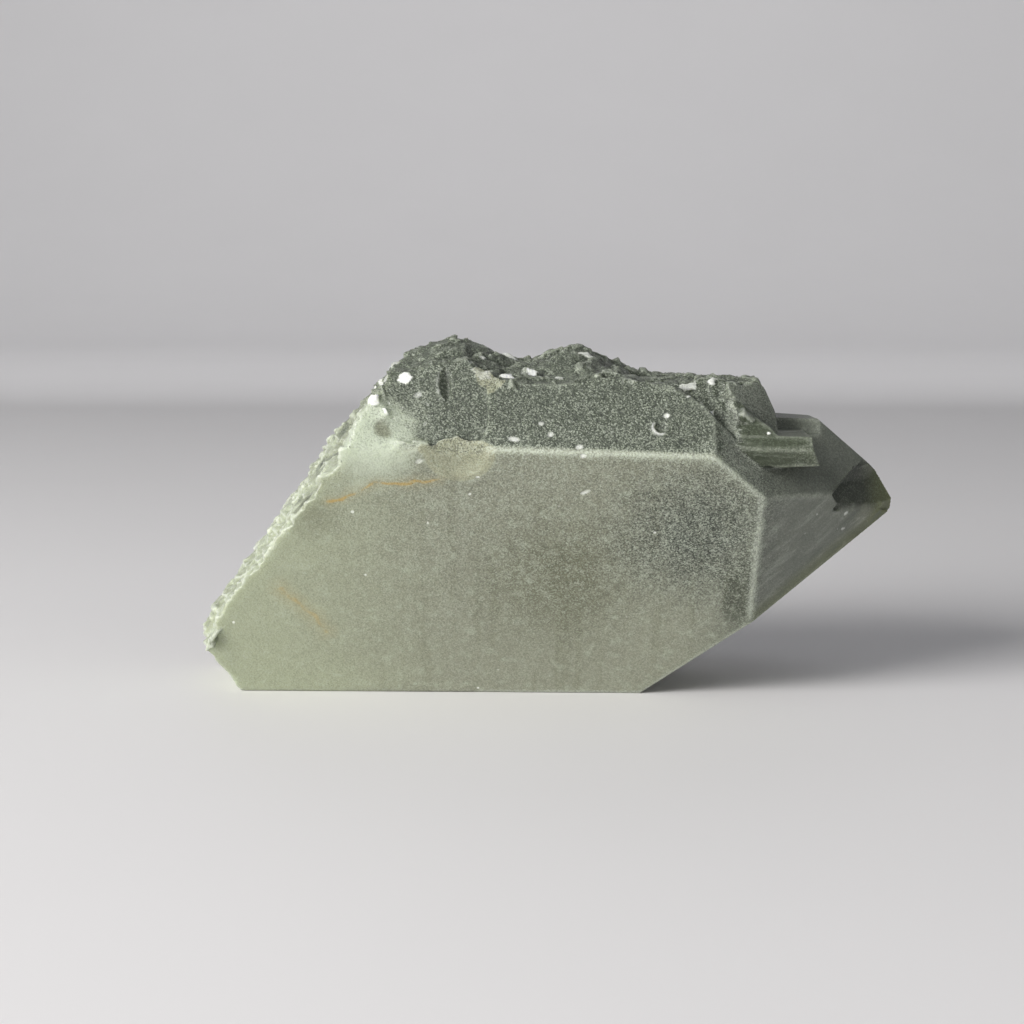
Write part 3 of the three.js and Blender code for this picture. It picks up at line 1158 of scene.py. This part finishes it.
def quartz_finish(tones, finish):
    """Clouded quartz. Each tone's share comes from the place and from the mesh's marks."""
    tree = Tree("chlorite_quartz")
    place = tree.place()
    x, y, z = (place.part(axis) for axis in "XYZ")
    marks = "ground", "worn", "chip", "dirt", "proud", "hollow"
    ground, worn, chip, dirt, proud, hollow = (tree.mark(name) for name in marks)
    cloud = tree.noise(place + (13.0, 4.0, 22.0), 9.0, 3.0)
    patch = tree.noise(place + (31.0, 7.0, 3.0), 3.5, 3.0, 0.6)
    mottle = tree.noise(place + (5.0, 17.0, 11.0), 1.3, 3.0, 0.65)
    crumble = tree.noise(place, 0.7, 3.0, 0.7)
    wander = tree.noise(place, 2.4, 3.0, output="Color") - (0.5, 0.5, 0.5)
    drift = (cloud - 0.5) * DRIFT

    # Parts of the surface.
    balls = FLAKE_SCARS + BITES
    inside = [(place - c).length().smooth(r + 0.16, r + 0.06) for c, r in balls]
    scar = reduce(Socket.larger, inside)
    broken = tree.mark("break") * (z + drift * 0.5 + (patch - 0.5) * 6.0).smooth(*BREAK_FADE)
    behind = y.smooth(*BEHIND)
    on_front = plane_gap(place, FRONT).smooth(*ON_FACE)
    lower_gap, tip_gap = plane_gap(place, TIP_FRONT), plane_gap(place, TIP_UPPER)
    on_tip_front = lower_gap.smooth(*ON_FACE) * tip_gap.smooth(-0.3, -0.1)
    on_tip_upper = tip_gap.smooth(0.9, 0.5) * tip_gap.smooth(-0.12, -0.04)
    height = (z - ABOVE_FOOT + (drift + (patch - 0.5) * 8.0) * behind) / (behind * 15.0 + 3.5)
    above = plane_gap(place, FRONT).smooth(0.15, 0.6) * height.smooth(-0.5, 0.5)
    above = above * (1 - on_tip_front) * (1 - broken) * (1 - behind * 0.3)
    clear = x.smooth(*CLEAR_START) * tip_gap.smooth(-0.3, -0.08)
    recess = tip_gap.smaller(lower_gap).smooth(0.15, 0.5) * x.smooth(*RECESS_SIDE)
    # Painted shade in the notch, darkest beside its overhanging wall.
    beyond = (place - tuple(TIP_UPPER.at(*NOTCH[0]))).dot(NOTCH_SIDE)
    notch = line_gap(place, TIP_UPPER, NOTCH).smooth(4.0, 0.8)
    notch = notch * beyond.smooth(-0.02, 0.12) * (1 - on_tip_front) * tip_gap.smooth(-0.2, 0.0)
    # Painted shadow on the upper tip face, below and right of the small green crystals.
    peg_shadow = line_gap(place, TIP_UPPER, PEG_SHADOW).smooth(2.6, 0.2)
    peg_shadow = peg_shadow * on_tip_upper * x.smooth(*PEG_SHADOW_START) * (1 - recess) * (1 - on_tip_front)
    on_peg = tip_gap.smooth(-0.08, -0.3) * x.smooth(*PEG_START) * above
    # Faces that look to the right get painted shade: darker, with fewer light grains.
    right_side_shade = tree.node("ShaderNodeTexCoord", {}, {}, "Normal").part("X").smooth(0.66, 0.85)
    glow = near(place + wander * 6.0, GLOW, 9.2).smooth(0.05, 0.9)

    # Body: pale and green at the broken end, greyer along the crystal, dark at the tip.
    coat = Coat(tree, tones, "pale")
    coat.lay("body", (x + drift).smooth(*BODY_START))
    coat.lay("dark", (x + drift * 0.6).smooth(*DARK_START) * 0.75)
    heart = near(place, FRONT.at(*OLIVE_HEART), 13.0) * (0.6 + cloud * 0.6)
    coat.lay("olive", heart * 0.85)
    dusted = near(place + wander * 4.0, FRONT.at(*DUSTED_PATCH), 13.0) * (0.5 + patch)
    dusted = dusted.clamp()
    coat.lay("dark", dusted * 0.95)
    streak = (place + wander * 1.5 - tuple(FRONT.at(*GREEN_STREAK))) * (1.0, 0.45, 0.45)
    streak = streak.length().smooth(2.9, 1.1) * on_front * (0.6 + patch * 0.8)
    coat.lay("tip", (streak * 0.85).clamp())
    coat.lay("tip_face", on_tip_front * 0.75)
    coat.lay("tip", (x + drift * 0.3).smooth(*OLIVE_START) * 0.7)
    coat.lay("ground", above * (1 - clear * 0.5) * (1 - glow * 0.6))
    # Painted light: the upper tip face beside the upper front face is lightened, as if lit as
    # brightly as that face.
    merged = above * on_tip_upper * (1 - clear) * x.smooth(*MERGED_START)
    coat.lay("tip_face", merged * 0.8)
    coat.lay("tip_face", above * clear * (1 - right_side_shade) * (0.4 + on_tip_upper * 0.2))
    coat.lay("dark_grain_and_shade", peg_shadow * 0.35)
    coat.lay("peg", on_peg * 0.9)
    # Painted shade: the tip's dark olive on faces that look to the right and in the tip's recess.
    coat.lay("tip", (right_side_shade * above * 0.85).larger(recess * 0.8))
    # More painted shade, in the dark grains' colour: the notch, the recess and faces that look to
    # the right.
    shaded = (notch * 0.95).larger(recess * 0.5).larger(right_side_shade * above * 0.7)
    coat.lay("dark_grain_and_shade", shaded)
    coat.lay("ground", ground * 0.75)
    torn = (crumble - 0.5) * 1.1 + (patch - 0.5) * 1.2 + 0.36
    coat.lay("fresh", (broken * torn).clamp())
    coat.lay("olive", broken * (cloud * 2.0 - mottle).smooth(0.35, 0.8) * 0.35)
    # Painted glow: olive light shining through the tip's thin rim and its very end.
    rim = (plane_gap(place, UNDERSIDE) + drift * 0.1).smooth(2.2, 0.2) * on_tip_front
    rim = rim + (x + drift * 0.1).smooth(*RIM_START)
    coat.lay("glow", (rim * 0.75).clamp())
    pale_patch = near(place + wander * 2.0, TIP_FRONT.at(*PALE_PATCH), 2.6) * on_tip_front
    coat.lay("body", pale_patch * 0.55)
    coat.lay("fresh", glow * (1 - scar) * 0.8)
    spot = near(place + wander * 1.5, BROWN_SPOT, 1.5).smooth(0.0, 0.7)
    coat.lay("olive", spot * 0.8)
    lines = []
    for centre, radius in FLAKE_SCARS[:1] + BITES:
        lens = (place - centre).length() - radius
        lines.append(lens.smooth(0.3, 0.12) * lens.smooth(0.02, 0.07))
    outline = reduce(Socket.larger, lines) * (1 - scar) * patch.smooth(0.42, 0.6)
    coat.lay("scar", scar * (0.55 + mottle * 0.5))

    # Growth bands across the long axis, and a faint mottle.
    bands = tree.noise(place * (1.0, 0.06, 0.04) + (cloud * 2.0), 1.6, 3.0, 0.6)
    streaks = (bands - 0.5).smooth(0.0, 0.2) * on_front * x.smooth(*BANDS_START)
    coat.lay("olive", streaks * 0.3)
    tinge = near(place + wander * 2.0, FRONT.at(*TINGE), 5.0)
    coat.lay("olive", tinge * 0.45)
    light_mottle = mottle.smooth(0.5, 0.8) * on_front * (1 - above)
    coat.lay("fresh", light_mottle * 0.28)

    # Rust veins.
    strayed = place + wander * 1.6
    upper = line_gap(strayed, FRONT, UPPER_VEIN)
    lower = line_gap(strayed, FRONT, LOWER_VEIN)
    vein = upper.smooth(0.3, 0.06) * (0.4 + patch * 0.7) + upper.smooth(1.3, 0.0) * 0.16
    vein = vein + lower.smooth(0.5, 0.0) * mottle.smooth(0.3, 0.6) * 0.5
    vein = vein + lower.smooth(2.2, 0.0) * 0.16
    coat.lay("rust", vein.clamp())

    # Chlorite dust: dark and light grains, thickest on the upper faces.
    dusty = (z + drift * 0.5).smooth(*DUST_FOOT) * (x + drift * 0.5).smooth(*DUST_START)
    edges = seam(place, FRONT, FRONT_UPPER, 1.1) * x.smooth(*RIDGE_START)
    edges = edges.larger(seam(place, FRONT, TIP_FRONT, 0.9))
    edges = edges.larger(seam(place, FRONT, TIP_UPPER, 1.0))
    edges = edges.larger(seam(place, TIP_FRONT, TIP_UPPER, 0.5) * x.smooth(*RIDGE_END) * 0.4)
    dusty = 0.36 + dusty * 0.45 + dusted * 0.5 + heart * 0.25 + above * 0.4
    dusty = dusty - x.smooth(*DUST_END) * 0.2 - scar * 0.3
    dusty = (dusty + ground * 0.2 - broken * 0.2 - vein * 0.3).clamp()
    dusty = dusty * (1 - clear * 0.75) * (1 - right_side_shade * 0.7) * (1 - on_peg * 0.8)
    dusty = (dusty * (1 - glow * 0.6) + edges * 0.3).clamp()
    cell = tree.cells(place + wander * 0.2, CELL, "Color").part("X")
    grain = tree.noise(place, 0.22, 2.0, 0.6)
    shade = cell + (mottle - 0.5) * 0.4 + (patch - 0.5) * 0.5 + (grain - 0.5) * 0.35
    # More light grains near the edges, and painted light as more light grains on the upper tip face
    # beside the upper front face.
    shade = shade + edges * 0.35 + merged * 0.22
    light_grain = shade.smooth(0.45, 1.15) * dusty
    dark_grain = shade.smooth(0.6, -0.1) * dusty * (0.55 + above * 0.45 + dusted * 0.8)
    coat.lay("grain_light", light_grain * (0.9 - above * 0.15))
    coat.lay("dark_grain_and_shade", (dark_grain * 0.85).clamp())
    speckle = 0.03 + (x + drift).smooth(*SPECKLE_START) * 0.13
    coat.colour = coat.colour * (1 + (cell - 0.5) * speckle)

    # Wear: pale bruised edges, bright broken points that are partly painted glints, and painted
    # shade in the hollows.
    bruise = worn * (crumble + cell * 0.7) * (x + drift * 0.3).smooth(*BRUISE_START)
    bruise = bruise * x.smooth(*BRUISE_END)
    bruise = bruise.larger(edges.smooth(0.45, 1.0) * (crumble * 0.6 + cell * 0.4))
    bruise = bruise.larger(outline * crumble * 1.2)
    coat.lay("worn", (bruise * 0.7).clamp())
    crack = tree.cells(place + wander * 3.0, CRACK_RUN, "Distance", "DISTANCE_TO_EDGE")
    crack = crack.smooth(0.028, 0.0) * on_tip_front * patch.smooth(0.4, 0.6)
    coat.lay("worn", crack * 0.14)

    # Scratches along the frosted tip face, and growth lines along the small green crystals.
    slant = {"Vector": place, "Angle": SCRATCH_SLANT}
    slanted = tree.node("ShaderNodeVectorRotate", {"rotation_type": "Y_AXIS"}, slant)
    scratch = tree.noise(slanted * (0.22, 0.5, 1.4) + wander * 0.6, 1.5, 4.0, 0.65)
    coat.lay("worn", scratch.smooth(0.52, 0.72) * on_tip_front * 0.3)
    coat.lay("dark", scratch.smooth(0.5, 0.3) * on_tip_front * 0.65)
    line = tree.noise(place * (0.1, 1.0, 1.0), 0.55, 3.0, 0.6)
    coat.lay("worn", line.smooth(0.55, 0.72) * on_peg * 0.2)
    coat.lay("dark_grain_and_shade", line.smooth(0.46, 0.3) * on_peg * 0.5)
    # Paler on raised points: bruised quartz of the weathered top, and painted glints on the broken
    # end.
    raised = proud.smooth(0.2, 0.9) * (ground * 0.3 + broken * (0.3 + crumble * 1.1))
    coat.lay("worn", raised.clamp())
    # Painted shade in the hollows and low points of the weathered top and the broken end, and in
    # the slit and the pit.
    sunk = hollow.smooth(0.1, 0.9) * ground + proud.smooth(-0.2, -0.9) * ground * 0.5
    sunk = sunk + proud.smooth(-0.2, -0.9) * broken * 0.35
    coat.lay("dark_grain_and_shade", (sunk * 0.6 + dirt * 0.45).clamp())

    # White chips, and loose white specks.
    coat.lay("speck", (chip * 1.5 - 0.25 + (crumble - 0.5) * 0.7).clamp())
    scattered = place + wander * 0.5
    gap = tree.cells(scattered, SPECK_RUN, "Distance") * SPECK_RUN
    chance = tree.cells(scattered, SPECK_RUN, "Color").part("X")
    specks = (gap - chance * 0.2).smooth(0.06, -0.06) * chance.smooth(0.55, 0.65)
    coat.lay("speck", specks * 0.7)

    rise = (grain - 0.5) * (0.03 + dusty * 0.11) + (bands - 0.5) * 0.03 * on_front
    rise = rise + (patch - 0.5) * 0.12 + (crumble - 0.5) * (ground + broken * 1.5) * 0.14
    rise = rise + (scratch - 0.5) * on_tip_front * 0.12 + (line - 0.5) * on_peg * 0.2
    rise = rise + (mottle - 0.5) * 0.06
    bump = {"Strength": 1.0, "Distance": MM, "Height": rise}
    shader = {
        "Base Color": coat.colour,
        "Roughness": finish.roughness + (grain - 0.5) * 0.2 - broken * 0.16 + worn * 0.08,
        "Normal": tree.node("ShaderNodeBump", {}, bump),
        "IOR": QUARTZ_IOR,
        "Subsurface Weight": finish.translucency,
        "Subsurface Radius": LIGHT_REACH,
        "Subsurface Scale": finish.glow_depth,
    }
    settings = {"subsurface_method": "RANDOM_WALK"}
    return tree.finish(tree.node("ShaderNodeBsdfPrincipled", settings, shader))


# ---- Settings -----------------------------------------------------------------------------


def tint(name, description, default):
    return FloatVectorProperty(
        name=name, description=description, default=default, subtype="COLOR", min=0, max=1
    )


def number(name, description, default, **limits):
    return FloatProperty(name=name, description=description, default=default, **limits)


def share(name, description, default):
    return number(name, description, default, subtype="FACTOR", min=0, max=1)


def power(name, description, default):
    return number(name, description, default, unit="POWER")


class CrystalShape(bpy.types.PropertyGroup):
    grain: number(
        "Grain", "Size of the working mesh's quads", 0.21 * MM, unit="LENGTH", precision=6
    )
    break_relief: number("Break relief", "Strength of the scales on the broken end", 1.0)
    ground_relief: number("Ground relief", "Strength of the weathered top's lumps", 1.0)


class CrystalColours(bpy.types.PropertyGroup):
    pale: tint("Pale end", "Body beside the broken end", (0.34, 0.37, 0.255))
    body: tint("Body", "Body of the prism", (0.255, 0.265, 0.20))
    olive: tint("Olive", "Chlorite inside the prism", (0.135, 0.14, 0.085))
    dark: tint("Dark dust", "Chlorite dust near the tip", (0.115, 0.13, 0.105))
    # Also laid as painted shade on faces that look to the right and in the tip's recess.
    tip: tint("Tip", "Clear olive quartz of the tip", (0.055, 0.062, 0.040))
    tip_face: tint("Tip face", "Frosted face below the tip", (0.19, 0.205, 0.172))
    peg: tint("Peg", "Small green crystals that stand off the tip", (0.043, 0.055, 0.029))
    glow: tint("Tip rim", "Olive light in the thin rim of the tip", (0.135, 0.15, 0.068))
    ground: tint("Weathered ground", "The weathered top", (0.085, 0.10, 0.073))
    fresh: tint("Fresh break", "Broken quartz", (0.53, 0.59, 0.47))
    scar: tint("Flake scar", "Smooth scars of flakes", (0.34, 0.345, 0.235))
    rust: tint("Rust", "Veins of iron stain", (0.42, 0.30, 0.10))
    worn: tint("Worn edge", "Bruised edges and points", (0.50, 0.54, 0.45))
    grain_light: tint("Light grains", "Light grains of the dust", (0.365, 0.40, 0.325))
    # Also the colour of the painted shade: slit, pit, hollows, notch, recess and below the small
    # green crystals.
    dark_grain_and_shade: tint("Dark grains", "Dark grains and dirt", (0.03, 0.037, 0.026))
    speck: tint("Specks", "White specks of broken quartz", (0.85, 0.87, 0.82))


class CrystalFinish(bpy.types.PropertyGroup):
    roughness: share("Roughness", "Mean roughness of the frosted faces", 0.5)
    translucency: share("Translucency", "Share of light that enters the quartz", 0.35)
    glow_depth: number("Glow depth", "How far light travels in the quartz", 3.0 * MM, unit="LENGTH")


class StudioSettings(bpy.types.PropertyGroup):
    floor: tint("Floor", "Colour of the floor", (0.80, 0.79, 0.80))
    sky: tint("Surround", "Colour of the soft surround", (0.86, 0.87, 0.90))
    sky_strength: number("Surround strength", "Brightness of the surround", 0.20)
    key_power: power("Key power", "Power of the key light", 9.2)
    side_power: power("Side power", "Power of the light on the right", 0.5)
    top_power: power("Top power", "Power of the top light", 0.4)
    wall_power: power("Wall power", "Power of the light on the wall", 4.5)


# ---- Operators ----------------------------------------------------------------------------


class CRYSTAL_OT_crystal(bpy.types.Operator):
    """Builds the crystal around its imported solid"""

    bl_idname = "crystal.crystal"
    bl_label = "Build crystal"

    def execute(self, context):
        scene = context.scene
        shape = scene.crystal_shape
        chips = all_chips()
        skin = Skin(*merged_copy("skin", *with_chips(chips), shape.grain / MM))
        zones = Zones(skin, chips)
        shape_skin(skin, zones, shape)
        keep = (zones.edge_gap < EDGE_BAND) | (zones.border_gap < BORDER_BAND) | zones.fine
        mesh = thinned_mesh(PIECE, skin, keep & zones.grown)
        carry_marks(mesh, skin, surface_marks(skin, zones))
        mesh.transform(Matrix.Diagonal((MM, MM, MM, 1.0)))
        mesh.materials.append(quartz_finish(scene.crystal_colours, scene.crystal_finish))
        mesh.shade_smooth()
        weigh_normals(mesh)
        piece = placed(PIECE, mesh)
        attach(piece, "root")
        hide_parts(NODE)
        return {"FINISHED"}


FLOOR_REACH = 2.5
FLOOR_DEPTH = 0.8
SWEEP_RADIUS = 0.6
SWEEP_HEIGHT = 1.6
CAMERA_PLACE = (0.435 * MM, -253.69 * MM, 52.48 * MM)
CAMERA_DIP = math.radians(7.176)
CAMERA_TURN = math.radians(0.84)
LENS = 77.34
SENSOR = 36.0
# Each lamp's turn and height in degrees, its reach and size in metres, and its colour.
LAMPS = {
    "key": (-48.0, 24.0, 0.8, 0.4, (1.0, 0.985, 0.96)),
    "side": (50.0, 15.0, 0.8, 0.5, (0.98, 0.99, 1.0)),
    "top": (20.0, 75.0, 0.9, 0.7, (0.96, 0.98, 1.0)),
    "wall": (0.0, 60.0, 0.7, 1.2, (1.0, 1.0, 1.0)),
}
WALL_LAMP_PLACE = (0.0, 0.35, 0.75)  # behind the crystal, and turned to the wall
WALL_LAMP_TURN = (math.radians(95), 0.0, 0.0)


def lamp(name, power, turn, height, reach, size, tone):
    """A square soft light that looks at the crystal from a turn and height."""
    data = bpy.data.lights.new(name, "AREA")
    data.size = size
    data.energy = power
    data.color = tone
    item = placed(name, data)
    a, e = math.radians(turn), math.radians(height)
    way = Vector((math.sin(a) * math.cos(e), -math.cos(a) * math.cos(e), math.sin(e)))
    item.location = way * reach
    item.rotation_euler = way.to_track_quat("Z", "Y").to_euler()
    return item


def sweep_mesh(name):
    """A floor that curves up into a wall far behind the crystal."""
    profile = [(-FLOOR_REACH, 0.0)]
    for turn in map(math.radians, range(0, 95, 5)):
        back = FLOOR_DEPTH + SWEEP_RADIUS * math.sin(turn)
        profile.append((back, SWEEP_RADIUS * (1 - math.cos(turn))))
    profile.append((FLOOR_DEPTH + SWEEP_RADIUS, SWEEP_HEIGHT))
    corners = [(side, y, z) for y, z in profile for side in (-FLOOR_REACH, FLOOR_REACH)]
    faces = [(2 * k, 2 * k + 1, 2 * k + 3, 2 * k + 2) for k in range(len(profile) - 1)]
    mesh = new_mesh(name, corners, faces)
    mesh.shade_smooth()
    return mesh


def floor_finish(tone):
    tree = Tree("studio_floor")
    cloud = tree.noise(tree.place(), 60.0)
    base = tree.mix(colour(tone), colour([part * 0.97 for part in tone]), cloud)
    shader = {"Base Color": base, "Roughness": 0.6, "IOR": 1.45}
    return tree.finish(tree.node("ShaderNodeBsdfPrincipled", {}, shader))


class CRYSTAL_OT_stage(bpy.types.Operator):
    """Builds the floor, the lights and the camera"""

    bl_idname = "crystal.stage"
    bl_label = "Build stage"

    def execute(self, context):
        scene = context.scene
        studio = scene.crystal_studio
        mesh = sweep_mesh("studio_floor")
        mesh.materials.append(floor_finish(studio.floor))
        floor = placed("studio_floor", mesh)

        for name, form in LAMPS.items():
            item = lamp(name, getattr(studio, name + "_power"), *form)
        item.location = WALL_LAMP_PLACE
        item.rotation_euler = WALL_LAMP_TURN
        world = bpy.data.worlds.new("surround")
        world.use_nodes = True
        background = world.node_tree.nodes["Background"]
        background.inputs["Color"].default_value = colour(studio.sky)
        background.inputs["Strength"].default_value = studio.sky_strength
        scene.world = world
        scene.view_settings.view_transform = "Standard"

        data = bpy.data.cameras.new("camera")
        data.lens = LENS
        data.sensor_width = SENSOR
        data.clip_start = 0.01
        camera = placed("camera", data)
        camera.location = CAMERA_PLACE
        camera.rotation_euler = (math.radians(90) - CAMERA_DIP, 0.0, CAMERA_TURN)
        scene.camera = camera
        return {"FINISHED"}


class CRYSTAL_PT_panel(bpy.types.Panel):
    """Lists the crystal's operators and settings"""

    bl_idname = "CRYSTAL_PT_panel"
    bl_label = "Chlorite quartz crystal"
    bl_space_type = "VIEW_3D"
    bl_region_type = "UI"
    bl_category = "Crystal"

    def draw(self, context):
        for operator in OPERATORS:
            self.layout.operator(operator.bl_idname)
        for name in GROUPS:
            group = getattr(context.scene, name)
            box = self.layout.box()
            for key in group.bl_rna.properties.keys():
                if key not in ("name", "rna_type"):
                    box.prop(group, key)


OPERATORS = (CRYSTAL_OT_crystal, CRYSTAL_OT_stage)
GROUPS = {
    "crystal_shape": CrystalShape,
    "crystal_colours": CrystalColours,
    "crystal_finish": CrystalFinish,
    "crystal_studio": StudioSettings,
}


def register():
    for item in (*GROUPS.values(), *OPERATORS, CRYSTAL_PT_panel):
        bpy.utils.register_class(item)
    for name, group in GROUPS.items():
        setattr(bpy.types.Scene, name, PointerProperty(type=group))


def unregister():
    for name in GROUPS:
        delattr(bpy.types.Scene, name)
    for item in (CRYSTAL_PT_panel, *OPERATORS, *GROUPS.values()):
        bpy.utils.unregister_class(item)


def main():
    register()
    bpy.ops.crystal.crystal()
    bpy.ops.crystal.stage()


if __name__ == "__main__":
    main()
